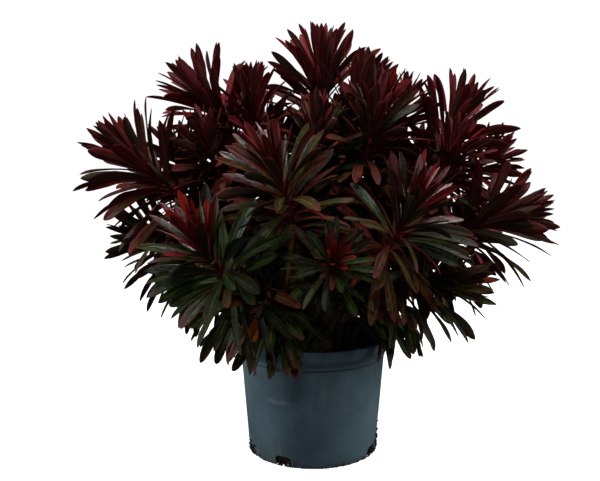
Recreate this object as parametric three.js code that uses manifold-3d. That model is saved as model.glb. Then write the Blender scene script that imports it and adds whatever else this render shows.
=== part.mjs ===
// A potted euphorbia: a bushy plant of leafy shoots, rooted in potting soil in a round nursery pot.
// Millimetres, +Z up. The origin is the middle of the pot's foot, and -Y is the plant's front.
import * as THREE from "three";
import { mergeVertices } from "three/addons/utils/BufferGeometryUtils.js";
import Module from "manifold-3d";

const wasm = await Module();
wasm.setup();

// The pot, as moulded
const POT_HEIGHT = 129;
const POT_WALL = 1.5;
const RIM_RADIUS = 87;
const RIM_HEIGHT = 8; // of the rim's upright outer face
const RIM_OVERHANG = 8; // of the rim over the wall under it
const FLARE_HEIGHT = 12; // of the curve that leads from the wall out to the rim
const FLARE_STEPS = 5;
const LIP_WIDTH = 3;
const LIP_HEIGHT = 2.5;
const COLLAR_DROP = 1.2; // from the end of the wall down to the fine step around it
const COLLAR_STEP = 0.8;
const WALL_TAPER = 8.5; // how much narrower the wall is at the foot than at the collar
const NOTCH_COUNT = 4;
const NOTCH_WIDTH = 18;
const NOTCH_HEIGHT = 11;
const NOTCH_REACH = 12; // how far a notch cuts into the floor from the wall
const NOTCH_CORNER = 4;
const NOTCH_TURN = THREE.MathUtils.degToRad(-27); // of the first notch, from the front
const POT_SIDES = 48;

// The soil
const SOIL_BELOW_RIM = 13;
const SOIL_MOUND = 4; // how much higher the soil is around the stems than at the wall
const SOIL_LUMP = 1.2;
const SOIL_SIDES = 28;
const SOIL_RINGS = 4;

// The plant: a dome of shoot tips
const CROWN_RADIUS = 210; // from the pot's axis to the outermost shoot tips
const CROWN_HEIGHT = 286; // from the soil to the highest shoot tip
const ROOTED_SHARE = 0.6; // how much of the soil's radius the outer tall shoots are rooted in
const LOW_ROOTED_SHARE = 0.36; // added to that for shoots that hardly rise
const ROOTED_DEPTH = 14;
const STEM_RISE = 0.42; // how much of its span a stem takes to bend away from straight up
const STEM_LEAN = 0.34; // and to bend into its lean
const STEM_FOOT_RADIUS = 3.4;
const STEM_TIP_RADIUS = 2;
const STEM_SIDES = 5;
const STEM_STEPS = 6;

// The leaves
const LEAF_COUNT = 10; // on a full-size shoot
const LEAFY_LENGTH = 104; // of the stretch of stem below a full-size shoot's tip that has leaves
const LEAF_LENGTH = 90;
const YOUNG_LEAF_LENGTH = 64;
const GROWN_AGE = 0.5; // the age, of 1, from which a leaf has its full length
const LENGTH_SCATTER = 0.08; // how much longer or shorter than that a leaf can be, as a share
const LEAF_WIDTH = 13;
const YOUNG_LEAF_WIDTH = 8;
const LEAF_THICKNESS = 1.8;
const SHEATH_THICKNESS = 1.5; // of the leaf bases where they clasp the stem
const SHEATH_STEPS = 3;
const UPRIGHT_ANGLE = THREE.MathUtils.degToRad(10); // between the stem and the highest leaf
const SPREAD_ANGLE = THREE.MathUtils.degToRad(88); // between the stem and the lowest leaf
const SPREAD_POWER = 0.8; // below 1, a leaf spreads fast while it is young
const LEAF_SAG = 0.34; // how far an old leaf's end hangs, as a share of its length
const GOLDEN_ANGLE = Math.PI * (3 - Math.sqrt(5));

const CLEARANCE = 0.4; // between neighbouring pieces
const UP = new THREE.Vector3(0, 0, 1);

// Where each shoot's tip stands: x and y as shares of CROWN_RADIUS, and z of CROWN_HEIGHT.
// lean is the direction that the tip points in, and vigour 1 is a full-size head of leaves.
const SHOOTS = [
  { tip: [0.05, 0.27, 1.02], lean: [0.0, 0.15, 1], vigour: 1.02 },
  { tip: [0.25, 0.13, 0.95], lean: [0.4, 0, 0.9], vigour: 0.85 },
  { tip: [-0.56, 0.24, 0.93], lean: [-0.6, 0.1, 0.8], vigour: 1 },
  { tip: [-0.31, 0.08, 0.91], lean: [-0.05, 0, 1], vigour: 0.8 },
  { tip: [-0.91, 0.04, 0.7], lean: [-0.72, 0, 0.7], vigour: 1.06 },
  { tip: [-0.52, -0.06, 0.76], lean: [-0.2, -0.15, 0.97], vigour: 0.72 },
  { tip: [-0.17, -0.46, 0.68], lean: [-0.3, -0.3, 0.9], vigour: 0.9 },
  { tip: [-0.49, -0.64, 0.44], lean: [-0.35, -0.45, 0.82], vigour: 0.95 },
  { tip: [0.31, -0.12, 0.86], lean: [0.25, -0.15, 0.95], vigour: 0.9 },
  { tip: [0.47, 0.28, 0.89], lean: [0.3, 0.1, 0.95], vigour: 0.75 },
  { tip: [0.43, -0.54, 0.56], lean: [0.3, -0.4, 0.87], vigour: 0.92 },
  { tip: [0.75, 0.22, 0.84], lean: [0.45, 0.05, 0.9], vigour: 1.02 },
  { tip: [0.69, -0.08, 0.73], lean: [0.35, -0.15, 0.93], vigour: 0.75 },
  { tip: [0.95, 0.28, 0.69], lean: [0.8, 0.15, 0.6], vigour: 0.72 },
  { tip: [0.94, -0.12, 0.5], lean: [0.9, -0.12, 0.38], vigour: 0.98 },
  { tip: [0.08, -0.66, 0.4], lean: [0.05, -0.9, 0.42], vigour: 0.66 },
  { tip: [-0.24, -0.5, 0.26], lean: [-0.3, -0.85, 0.45], vigour: 0.84 },
  { tip: [0.2, -0.47, 0.27], lean: [0.15, -0.85, 0.5], vigour: 0.7 },
  { tip: [0.62, -0.36, 0.29], lean: [0.85, -0.45, 0.25], vigour: 0.88 },
  { tip: [0.02, -0.12, 0.8], lean: [0, -0.2, 1], vigour: 0.8 },
  { tip: [-0.3, 0.66, 0.78], lean: [-0.25, 0.5, 0.85], vigour: 0.98 },
  { tip: [0.24, 0.7, 0.8], lean: [0.2, 0.5, 0.85], vigour: 0.98 },
  { tip: [-0.72, 0.46, 0.68], lean: [-0.6, 0.45, 0.7], vigour: 0.94 },
  { tip: [0.63, 0.66, 0.67], lean: [0.5, 0.55, 0.7], vigour: 0.94 },
  { tip: [0.0, 0.92, 0.47], lean: [0, 0.85, 0.5], vigour: 0.98 },
  { tip: [-0.5, 0.82, 0.42], lean: [-0.45, 0.75, 0.5], vigour: 0.95 },
  { tip: [0.48, 0.84, 0.4], lean: [0.4, 0.75, 0.5], vigour: 0.94 },
  { tip: [-0.88, 0.3, 0.38], lean: [-0.85, 0.3, 0.45], vigour: 0.9 },
  { tip: [0.85, 0.45, 0.38], lean: [0.85, 0.4, 0.4], vigour: 0.88 },
];

// A repeatable number from -1 to 1 for a pair of counters.
function scatter(a, b) {
  const wave = Math.sin(a * 127.1 + b * 311.7) * 43758.5453;
  return 2 * (wave - Math.floor(wave)) - 1;
}

const { lerp } = THREE.MathUtils;
const { cos, sin, hypot } = Math;

// ---- Solids and geometries

function toSolid(geometry) {
  const bare = geometry.clone();
  bare.deleteAttribute("normal");
  bare.deleteAttribute("uv");
  const merged = mergeVertices(bare, 1e-4);
  return new wasm.Manifold(
    new wasm.Mesh({
      numProp: 3,
      vertProperties: new Float32Array(merged.attributes.position.array),
      triVerts: new Uint32Array(merged.index.array),
    }),
  );
}

function toGeometry(solid) {
  const mesh = solid.getMesh();
  const geometry = new THREE.BufferGeometry();
  geometry.setAttribute("position", new THREE.BufferAttribute(mesh.vertProperties, 3));
  geometry.setIndex(new THREE.BufferAttribute(mesh.triVerts, 1));
  geometry.computeVertexNormals();
  return geometry;
}

// Moves each point of a geometry to where place(point) puts it.
function reshape(geometry, place) {
  const position = geometry.attributes.position;
  const point = new THREE.Vector3();
  for (let i = 0; i < position.count; i++) {
    point.fromBufferAttribute(position, i);
    const moved = place(point);
    position.setXYZ(i, moved.x, moved.y, moved.z);
  }
  return geometry;
}

// A rod of unit radius and unit length, laid along a curve: section(t, x, y) gives the offsets
// of its surface along the curve's side and face directions at t.
function alongCurve(rod, curve, face, section) {
  return reshape(rod, (point) => {
    const t = THREE.MathUtils.clamp(point.y + 0.5, 0, 1);
    const tangent = curve.getTangent(t);
    const side = new THREE.Vector3().crossVectors(tangent, face).normalize();
    const normal = new THREE.Vector3().crossVectors(side, tangent);
    const [across, out] = section(t, point.x, point.z);
    return curve.getPoint(t).addScaledVector(side, across).addScaledVector(normal, out);
  });
}

const boxesMeet = (a, b) =>
  [0, 1, 2].every((axis) => a.min[axis] <= b.max[axis] && b.min[axis] <= a.max[axis]);

// Whether a solid keeps clear of every obstacle.
function isClear(solid, obstacles) {
  const box = solid.boundingBox();
  return obstacles.every(
    (obstacle) => !boxesMeet(box, obstacle.boundingBox()) || solid.intersect(obstacle).isEmpty(),
  );
}

// ---- Pot

const SHOULDER_HEIGHT = POT_HEIGHT - RIM_HEIGHT - FLARE_HEIGHT; // where the wall ends
const COLLAR_HEIGHT = SHOULDER_HEIGHT - COLLAR_DROP;
const SHOULDER_RADIUS = RIM_RADIUS - RIM_OVERHANG;
const FOOT_RADIUS = SHOULDER_RADIUS - COLLAR_STEP - WALL_TAPER;

// The outline of the pot's outer face from the foot up to the rim, moved inwards by inset.
function potOutline(inset) {
  const foot = FOOT_RADIUS - inset;
  const shoulder = SHOULDER_RADIUS - inset;
  const rim = RIM_RADIUS - inset;
  const flare = new THREE.CubicBezierCurve(
    new THREE.Vector2(shoulder, SHOULDER_HEIGHT),
    new THREE.Vector2(shoulder, SHOULDER_HEIGHT + FLARE_HEIGHT / 2),
    new THREE.Vector2(rim, SHOULDER_HEIGHT + FLARE_HEIGHT / 2),
    new THREE.Vector2(rim, SHOULDER_HEIGHT + FLARE_HEIGHT),
  );
  return [
    new THREE.Vector2(lerp(foot, shoulder - COLLAR_STEP, inset / COLLAR_HEIGHT), inset),
    new THREE.Vector2(shoulder - COLLAR_STEP, COLLAR_HEIGHT - COLLAR_STEP),
    new THREE.Vector2(shoulder, COLLAR_HEIGHT),
    ...flare.getPoints(FLARE_STEPS),
  ];
}

function potShape() {
  const outside = potOutline(0);
  const inside = potOutline(POT_WALL).reverse();
  const round = POT_WALL / 2;
  const lip = [
    new THREE.Vector2(RIM_RADIUS, POT_HEIGHT - round),
    new THREE.Vector2(RIM_RADIUS - round, POT_HEIGHT),
    new THREE.Vector2(RIM_RADIUS - LIP_WIDTH, POT_HEIGHT),
    new THREE.Vector2(RIM_RADIUS - LIP_WIDTH, POT_HEIGHT - LIP_HEIGHT),
    new THREE.Vector2(RIM_RADIUS - POT_WALL, POT_HEIGHT - LIP_HEIGHT - LIP_WIDTH + POT_WALL),
  ];
  const profile = [
    new THREE.Vector2(0, 0),
    ...outside,
    ...lip,
    ...inside,
    new THREE.Vector2(0, POT_WALL),
  ];
  return toSolid(new THREE.LatheGeometry(profile, POT_SIDES).rotateX(Math.PI / 2));
}

// A drainage notch: an arch cut through the foot of the wall and the edge of the floor.
function notch(turn) {
  const half = NOTCH_WIDTH / 2;
  const under = -POT_WALL; // the cut starts below the foot
  const arch = new THREE.Shape();
  arch.moveTo(-half, under);
  arch.lineTo(half, under);
  arch.absarc(half - NOTCH_CORNER, NOTCH_HEIGHT - NOTCH_CORNER, NOTCH_CORNER, 0, Math.PI / 2);
  arch.absarc(NOTCH_CORNER - half, NOTCH_HEIGHT - NOTCH_CORNER, NOTCH_CORNER, Math.PI / 2, Math.PI);
  const depth = NOTCH_REACH * 2;
  const geometry = new THREE.ExtrudeGeometry(arch, { depth, bevelEnabled: false, curveSegments: 3 });
  geometry.rotateX(Math.PI / 2).translate(0, NOTCH_REACH - FOOT_RADIUS, 0).rotateZ(turn);
  return toSolid(geometry);
}

function potSolid() {
  let pot = potShape();
  for (let i = 0; i < NOTCH_COUNT; i++) {
    pot = pot.subtract(notch(NOTCH_TURN + (i * 2 * Math.PI) / NOTCH_COUNT));
  }
  return pot;
}

// ---- Soil

const SOIL_EDGE = POT_HEIGHT - SOIL_BELOW_RIM; // height of the soil at the wall
const ROOTING_RADIUS = SHOULDER_RADIUS - POT_WALL - CLEARANCE; // of the soil under the rim

const soilTop = (x, y) => {
  const out = hypot(x, y) / RIM_RADIUS;
  return SOIL_EDGE + SOIL_MOUND * (1 - out * out);
};

function soilSolid(sockets) {
  const outline = potOutline(POT_WALL + CLEARANCE);
  const above = outline.findIndex((corner) => corner.y >= SOIL_EDGE);
  const [under, over] = above < 0 ? outline.slice(-2) : outline.slice(above - 1, above + 1);
  const share = Math.min(1, (SOIL_EDGE - under.y) / (over.y - under.y));
  const edge = lerp(under.x, over.x, share);
  const level = edge * (1 - 0.5 / SOIL_RINGS); // from here to the wall there are no lumps
  const top = [];
  for (let ring = 0; ring < SOIL_RINGS; ring++) {
    const radius = edge * (1 - ring / SOIL_RINGS);
    top.push(new THREE.Vector2(radius, soilTop(radius, 0)));
  }
  const profile = [
    new THREE.Vector2(0, POT_WALL + CLEARANCE),
    ...outline.slice(0, above < 0 ? outline.length : above),
    ...top,
    new THREE.Vector2(0, soilTop(0, 0)),
  ];
  const lathe = new THREE.LatheGeometry(profile, SOIL_SIDES).rotateX(Math.PI / 2);
  const lumpy = reshape(lathe, (point) => {
    const onTop = point.z > SOIL_EDGE && hypot(point.x, point.y) < level;
    const lump = SOIL_LUMP * scatter(Math.round(point.x), Math.round(point.y));
    return new THREE.Vector3(point.x, point.y, point.z + (onTop ? lump : 0));
  });
  return sockets.reduce((soil, socket) => soil.subtract(socket), toSolid(lumpy));
}

// ---- Shoots

function stemCurve({ tip, lean }) {
  const [x, y, z] = tip;
  const end = new THREE.Vector3(x * CROWN_RADIUS, y * CROWN_RADIUS, SOIL_EDGE + z * CROWN_HEIGHT);
  const rooted = ROOTING_RADIUS * (ROOTED_SHARE + LOW_ROOTED_SHARE * (1 - z));
  const foot = new THREE.Vector3(x * rooted, y * rooted, 0);
  foot.z = soilTop(foot.x, foot.y) - ROOTED_DEPTH;
  const span = foot.distanceTo(end);
  return new THREE.CubicBezierCurve3(
    foot,
    foot.clone().addScaledVector(UP, span * STEM_RISE),
    end.clone().addScaledVector(new THREE.Vector3(...lean).normalize(), -span * STEM_LEAN),
    end,
  );
}

const stemRadius = (t) => lerp(STEM_FOOT_RADIUS, STEM_TIP_RADIUS, t);

// A round piece around a stem's centreline, from share start of it to share end, thicker than
// the stem by grow all round. Past the tip it runs straight on.
function aroundStem(curve, { start = 0, end = 1, grow = 0, steps = STEM_STEPS }) {
  const rod = new THREE.CylinderGeometry(1, 1, 1, STEM_SIDES, steps);
  const straightOn = curve.getTangent(1).multiplyScalar(curve.getLength());
  const centre = new THREE.Curve();
  centre.getPoint = (t) => {
    const share = lerp(start, end, t);
    return curve.getPoint(Math.min(share, 1)).addScaledVector(straightOn, Math.max(share - 1, 0));
  };
  centre.getTangent = (t) => curve.getTangent(Math.min(lerp(start, end, t), 1));
  return toSolid(
    alongCurve(rod, centre, new THREE.Vector3(0, 1, 0), (t, x, y) => {
      const radius = stemRadius(Math.min(lerp(start, end, t), 1)) + grow;
      return [x * radius, y * radius];
    }),
  );
}

// Where a leaf's rings of corners lie along it, and its width there as a share of the full width.
const LEAF_RINGS = [
  { along: 0, wide: 0.24 },
  { along: 0.4, wide: 0.68 },
  { along: 0.8, wide: 1 },
  { along: 1, wide: 0 },
];

// One leaf: three-sided, with its keel below and its flat face towards the stem's tip.
function leafSolid(shoot, order, { turn, raise, grow }) {
  const { curve, number, vigour } = shoot;
  const age = (order + 0.5) / leafCount(shoot);
  const below = (LEAFY_LENGTH * vigour * age) / curve.getLength();
  const axis = curve.getTangent(1 - below);
  const sideways = new THREE.Vector3(0, 1, 0).cross(axis).normalize();
  sideways.applyAxisAngle(axis, order * GOLDEN_ANGLE + number + turn);
  const angle = lerp(UPRIGHT_ANGLE, SPREAD_ANGLE, age ** SPREAD_POWER) - raise;
  const heading = axis.clone().multiplyScalar(cos(angle)).addScaledVector(sideways, sin(angle));
  const uneven = vigour * (1 + LENGTH_SCATTER * scatter(number, order));
  const grown = Math.min(1, age / GROWN_AGE);
  const length = lerp(YOUNG_LEAF_LENGTH, LEAF_LENGTH, grown) * uneven + grow;
  const width = lerp(YOUNG_LEAF_WIDTH, LEAF_WIDTH, age) * vigour;
  const base = curve.getPoint(1 - below);
  const reach = heading.clone().addScaledVector(UP, -LEAF_SAG * age).setLength(length);
  const midrib = new THREE.QuadraticBezierCurve3(
    base,
    base.clone().addScaledVector(heading, length / 2),
    base.clone().add(reach),
  );
  const ringAt = (t) => LEAF_RINGS[Math.round(t * (LEAF_RINGS.length - 1))];
  const centre = new THREE.Curve();
  centre.getPoint = (t) => midrib.getPoint(ringAt(t).along);
  centre.getTangent = (t) => midrib.getTangent(ringAt(t).along);
  const rod = new THREE.CylinderGeometry(0, 1, 1, 3, LEAF_RINGS.length - 1);
  return toSolid(
    alongCurve(rod, centre, axis, (t, x, y) => {
      const taper = hypot(x, y) || 1; // the rod's own, which the leaf's outline takes the place of
      const half = (width / 2) * ringAt(t).wide + grow;
      const keel = LEAF_THICKNESS / 1.5 + grow; // a three-sided rod is 1.5 of its radii high
      return [((-x / taper) * half) / sin(Math.PI / 3), (-y / taper) * keel];
    }),
  );
}

const leafCount = (shoot) => Math.round(LEAF_COUNT * shoot.vigour);

// The ways to move a leaf out of its neighbours' way, the smallest first: degrees around the stem,
// and degrees up towards it.
const NUDGES = [];
for (const turn of [0, 10, -10, 20, -20, 32, -32, 45, -45]) {
  for (const raise of [0, 12, -12, 24]) {
    NUDGES.push({ turn: THREE.MathUtils.degToRad(turn), raise: THREE.MathUtils.degToRad(raise) });
  }
}
NUDGES.sort((a, b) => Math.abs(a.turn) + Math.abs(a.raise) - Math.abs(b.turn) - Math.abs(b.raise));

// The thin sheath of leaf bases that clasps a stem, still solid: the stem's room isn't cut yet.
function sheathSolid({ curve, vigour }) {
  const length = curve.getLength();
  return aroundStem(curve, {
    start: 1 - (LEAFY_LENGTH * vigour) / length,
    end: 1 + (CLEARANCE + SHEATH_THICKNESS) / length,
    grow: CLEARANCE + SHEATH_THICKNESS,
    steps: SHEATH_STEPS,
  });
}

// The room that a stem takes up, with clearance all round.
const stemRoom = ({ curve }) =>
  aroundStem(curve, { end: 1 + CLEARANCE / curve.getLength(), grow: CLEARANCE });

// A shoot's leaves and their sheath as one piece. A leaf that no nudge brings clear of the
// obstacles doesn't grow.
function leavesSolid(shoot, obstacles) {
  let leaves = sheathSolid(shoot);
  for (let order = 0; order < leafCount(shoot); order++) {
    const nudge = NUDGES.find((way) =>
      isClear(leafSolid(shoot, order, { ...way, grow: CLEARANCE }), obstacles),
    );
    if (nudge) leaves = leaves.add(leafSolid(shoot, order, { ...nudge, grow: 0 }));
  }
  return leaves.subtract(stemRoom(shoot));
}

// ---- The plant in its pot

const POT_PLASTIC = { color: 0x4a5c66, roughness: 0.5 };
const PEAT = { color: 0x1c1611, roughness: 0.95 };
const STEM_BARK = { color: 0x5a2a22, roughness: 0.7 };
const LEAF_BLADE = { color: 0x4a1f1c, roughness: 0.5 };

const plant = new THREE.Group();

function addPiece(name, solid, look) {
  const mesh = new THREE.Mesh(toGeometry(solid), new THREE.MeshStandardMaterial(look));
  mesh.name = name;
  plant.add(mesh);
}

const shoots = SHOOTS.map((shoot, i) => ({ ...shoot, number: i + 1, curve: stemCurve(shoot) }));
const rooms = shoots.map(stemRoom);
const sheaths = shoots.map(sheathSolid);
const pot = potSolid();
const soil = soilSolid(rooms);

addPiece("pot", pot, POT_PLASTIC);
addPiece("soil", soil, PEAT);

const grown = [];
shoots.forEach((shoot, i) => {
  const label = String(shoot.number).padStart(2, "0");
  const others = [...rooms, ...sheaths].filter((_, other) => other % shoots.length !== i);
  const leaves = leavesSolid(shoot, [pot, soil, ...others, ...grown]);
  grown.push(leaves);
  addPiece(`stem_${label}`, aroundStem(shoot.curve, {}), STEM_BARK);
  addPiece(`leaves_${label}`, leaves, LEAF_BLADE);
});

export default plant;
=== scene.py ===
"""A potted euphorbia: leafy wine-red shoots, rooted in peat in a grey-blue nursery pot.

Metres, +Z up. The origin is the middle of the pot's foot, and -Y is the plant's front.
"""

import math
import random

import bmesh
import bpy
import numpy as np
from mathutils import Matrix, Vector, noise


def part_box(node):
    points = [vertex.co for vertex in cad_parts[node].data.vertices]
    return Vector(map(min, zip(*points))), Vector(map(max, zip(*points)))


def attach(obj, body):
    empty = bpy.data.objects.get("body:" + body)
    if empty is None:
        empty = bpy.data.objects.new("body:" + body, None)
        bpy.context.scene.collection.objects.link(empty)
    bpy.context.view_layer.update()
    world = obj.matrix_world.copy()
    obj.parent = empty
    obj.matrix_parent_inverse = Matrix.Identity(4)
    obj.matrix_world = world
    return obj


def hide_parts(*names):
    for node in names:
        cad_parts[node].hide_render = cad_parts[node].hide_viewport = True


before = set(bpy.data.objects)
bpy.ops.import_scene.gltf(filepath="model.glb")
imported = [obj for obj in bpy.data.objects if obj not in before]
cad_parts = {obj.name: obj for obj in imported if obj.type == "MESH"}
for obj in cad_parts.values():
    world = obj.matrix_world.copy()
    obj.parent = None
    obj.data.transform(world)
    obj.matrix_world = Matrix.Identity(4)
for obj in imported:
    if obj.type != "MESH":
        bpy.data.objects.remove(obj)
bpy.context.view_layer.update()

MM = 0.001
UP = np.array([0.0, 0.0, 1.0])
ROUND = 2 * math.pi
GOLDEN_ANGLE = math.pi * (3 - math.sqrt(5))

# ---- Camera

CAMERA_PLACE = (-0.0139, -0.9, 0.362)
CAMERA_DIP = 0.1464  # how far it looks down, in radians
CAMERA_LENS = 50.64
SENSOR_WIDTH = 36

camera = bpy.data.objects.new("camera", bpy.data.cameras.new("camera"))
camera.location = CAMERA_PLACE
camera.rotation_euler = (math.pi / 2 - CAMERA_DIP, 0, 0)
camera.data.lens = CAMERA_LENS
camera.data.sensor_width = SENSOR_WIDTH
bpy.context.collection.objects.link(camera)
bpy.context.scene.camera = camera
bpy.context.scene.view_settings.view_transform = "Standard"

# ---- Sizes that the frame doesn't give, as the CAD model has them

POT_WALL = 1.5 * MM
RIM_HEIGHT = 8 * MM
RIM_OVERHANG = 8 * MM  # over the wall under it
FLARE_HEIGHT = 12 * MM
LIP_WIDTH = 3 * MM
LIP_HEIGHT = 2.5 * MM
COLLAR_DROP = 1.2 * MM
COLLAR_STEP = 0.8 * MM
WALL_TAPER = 8.5 * MM  # from the collar down to the foot
NOTCH_COUNT = 4
NOTCH_WIDTH = 18 * MM
NOTCH_HEIGHT = 11 * MM
NOTCH_REACH = 12 * MM  # inwards from the wall
NOTCH_CORNER = 4 * MM
NOTCH_TURN = math.radians(-27)  # of the first one, from the front
SOIL_BELOW_RIM = 13 * MM
SOIL_MOUND = 4 * MM  # how much higher the soil is around the stems
CLEARANCE = 0.4 * MM  # between the soil and the pot
STEM_RISE = 0.42  # the share of its span in which a stem bends away from straight up
STEM_FOOT_RADIUS = 3.4 * MM
STEM_TIP_RADIUS = 2 * MM
LEAFY_LENGTH = 104 * MM  # of the stretch of stem that has leaves, at vigour 1
LEAF_LENGTH = 90 * MM
YOUNG_LEAF_LENGTH = 64 * MM
LEAF_WIDTH = 13 * MM
YOUNG_LEAF_WIDTH = 8 * MM
UPRIGHT_ANGLE = math.radians(10)  # between the stem and its highest leaf
SPREAD_ANGLE = math.radians(88)  # and its lowest

RIM_RADIUS, _, POT_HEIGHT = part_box("pot")[1]
SHOULDER_HEIGHT = POT_HEIGHT - RIM_HEIGHT - FLARE_HEIGHT
SHOULDER_RADIUS = RIM_RADIUS - RIM_OVERHANG
COLLAR_HEIGHT = SHOULDER_HEIGHT - COLLAR_DROP
FOOT_RADIUS = SHOULDER_RADIUS - COLLAR_STEP - WALL_TAPER
SOIL_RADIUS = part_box("soil")[1][0]
SOIL_EDGE = POT_HEIGHT - SOIL_BELOW_RIM

# For each shoot, in the order of its nodes: its vigour (1 is a full-size head of leaves), how red
# its leaves and its youngest leaves are, and how much wax coat and painted glint its leaves get.
SHOOTS = [
    (1.02, 0.95, 1.05, 0.1),
    (0.85, 0.85, 1.0, 0.1),
    (1.00, 1.00, 1.05, 0.1),
    (0.80, 0.95, 1.0, 0.1),
    (1.06, 0.66, 0.95, 0.3),
    (0.72, 0.70, 0.9, 0.2),
    (0.90, 0.45, 0.85, 1.0),
    (0.95, 0.10, 1.05, 1.0),
    (0.90, 0.60, 1.0, 0.3),
    (0.75, 0.75, 0.9, 0.1),
    (0.92, 0.48, 0.85, 0.9),
    (1.02, 0.85, 0.95, 0.1),
    (0.75, 0.70, 0.9, 0.1),
    (0.72, 0.85, 0.9, 0.1),
    (0.98, 0.62, 0.8, 0.2),
    (0.66, 0.18, 0.9, 0.2),
    (0.84, 0.05, 0.3, 0.1),
    (0.70, 0.15, 0.3, 0.1),
    (0.88, 0.28, 0.4, 0.2),
    (0.80, 0.35, 0.6, 0.2),
    (0.98, 0.55, 0.8, 0.1),
    (0.98, 0.60, 0.8, 0.1),
    (0.94, 0.40, 0.7, 0.1),
    (0.94, 0.55, 0.7, 0.1),
    (0.98, 0.30, 0.6, 0.1),
    (0.95, 0.25, 0.5, 0.1),
    (0.94, 0.30, 0.5, 0.1),
    (0.90, 0.20, 0.4, 0.1),
    (0.88, 0.30, 0.5, 0.1),
]


def lerp(low, high, share):
    return low + (high - low) * share


def unit(vector):
    return vector / np.linalg.norm(vector)


def colour(red, green, blue):
    """A linear colour from display values of 0 to 255."""
    channels = [c / 255 for c in (red, green, blue)]
    linear = [c / 12.92 if c < 0.04045 else ((c + 0.055) / 1.055) ** 2.4 for c in channels]
    return (*linear, 1)


# ---- Finishes


class Field:
    """What varies over a surface: one output of a node. Arithmetic on it adds Math nodes."""

    def __init__(self, finish, socket):
        self.finish = finish
        self.socket = socket

    def math(self, operation, *terms):
        return self.finish.node("ShaderNodeMath", {"operation": operation}, dict(enumerate(terms)))

    def sine(self):
        return self.math("SINE", self)

    def __add__(self, other):
        return self.math("ADD", self, other)

    def __sub__(self, other):
        return self.math("SUBTRACT", self, other)

    def __rsub__(self, other):
        return self.math("SUBTRACT", other, self)

    def __mul__(self, other):
        return self.math("MULTIPLY", self, other)

    def __abs__(self):
        return self.math("ABSOLUTE", self)

    __radd__ = __add__
    __rmul__ = __mul__

    def ramp(self, start, end):
        """0 before start and 1 after end, with a soft step between them, or the other way round."""
        settings = {"interpolation_type": "SMOOTHSTEP"}
        ends = {"Value": self, "From Min": start, "From Max": end}
        return self.finish.node("ShaderNodeMapRange", settings, ends)


class Finish:
    """A material that is being made. Its methods add nodes, and surface() feeds its shader."""

    def __init__(self, name):
        self.material = bpy.data.materials.new(name)
        self.material.use_nodes = True
        self.tree = self.material.node_tree
        self.shader = self.tree.nodes["Principled BSDF"]

    def node(self, kind, settings=None, inputs=None, output=0):
        made = self.tree.nodes.new(kind)
        for name, value in (settings or {}).items():
            setattr(made, name, value)
        for key, value in (inputs or {}).items():
            self.feed(made.inputs[key], value)
        return Field(self, made.outputs[output])

    def feed(self, socket, value):
        if isinstance(value, Field):
            self.tree.links.new(value.socket, socket)
        else:
            socket.default_value = value

    def mix(self, share, first, second):
        """A share of the second colour over the first."""
        inputs = {0: share, 6: first, 7: second}
        return self.node("ShaderNodeMix", {"data_type": "RGBA"}, inputs, output=2)

    def place(self):
        return self.node("ShaderNodeTexCoord", output="Object")

    def parts(self, vector):
        """The three numbers of a vector."""
        return [self.node("ShaderNodeSeparateXYZ", inputs={0: vector}, output=i) for i in range(3)]

    def attribute(self, name):
        """The three numbers that a mesh holds under a name."""
        held = self.node("ShaderNodeAttribute", {"attribute_name": name}, output="Vector")
        return self.parts(held)

    def vector(self, x, y, z):
        return self.node("ShaderNodeCombineXYZ", inputs={0: x, 1: y, 2: z})

    def stretched(self, vector, x, y, z):
        return self.node("ShaderNodeVectorMath", {"operation": "MULTIPLY"}, {0: vector, 1: (x, y, z)})

    def noise(self, vector, scale, detail=3.0, roughness=0.55):
        inputs = {"Vector": vector, "Scale": scale, "Detail": detail, "Roughness": roughness}
        return self.node("ShaderNodeTexNoise", inputs=inputs)

    def cells(self, vector, scale):
        return self.node("ShaderNodeTexVoronoi", inputs={"Vector": vector, "Scale": scale})

    def bump(self, height, distance, strength=1.0):
        inputs = {"Strength": strength, "Distance": distance, "Height": height}
        return self.node("ShaderNodeBump", inputs=inputs)

    def surface(self, sockets):
        for name, value in sockets.items():
            self.feed(self.shader.inputs[name], value)
        return self.material


VEIN_SLANT = 0.22  # how far a side vein climbs from the midrib to the margin, in leaf lengths
VEIN_TURNS = 150  # radians along a leaf in which the side veins repeat


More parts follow.
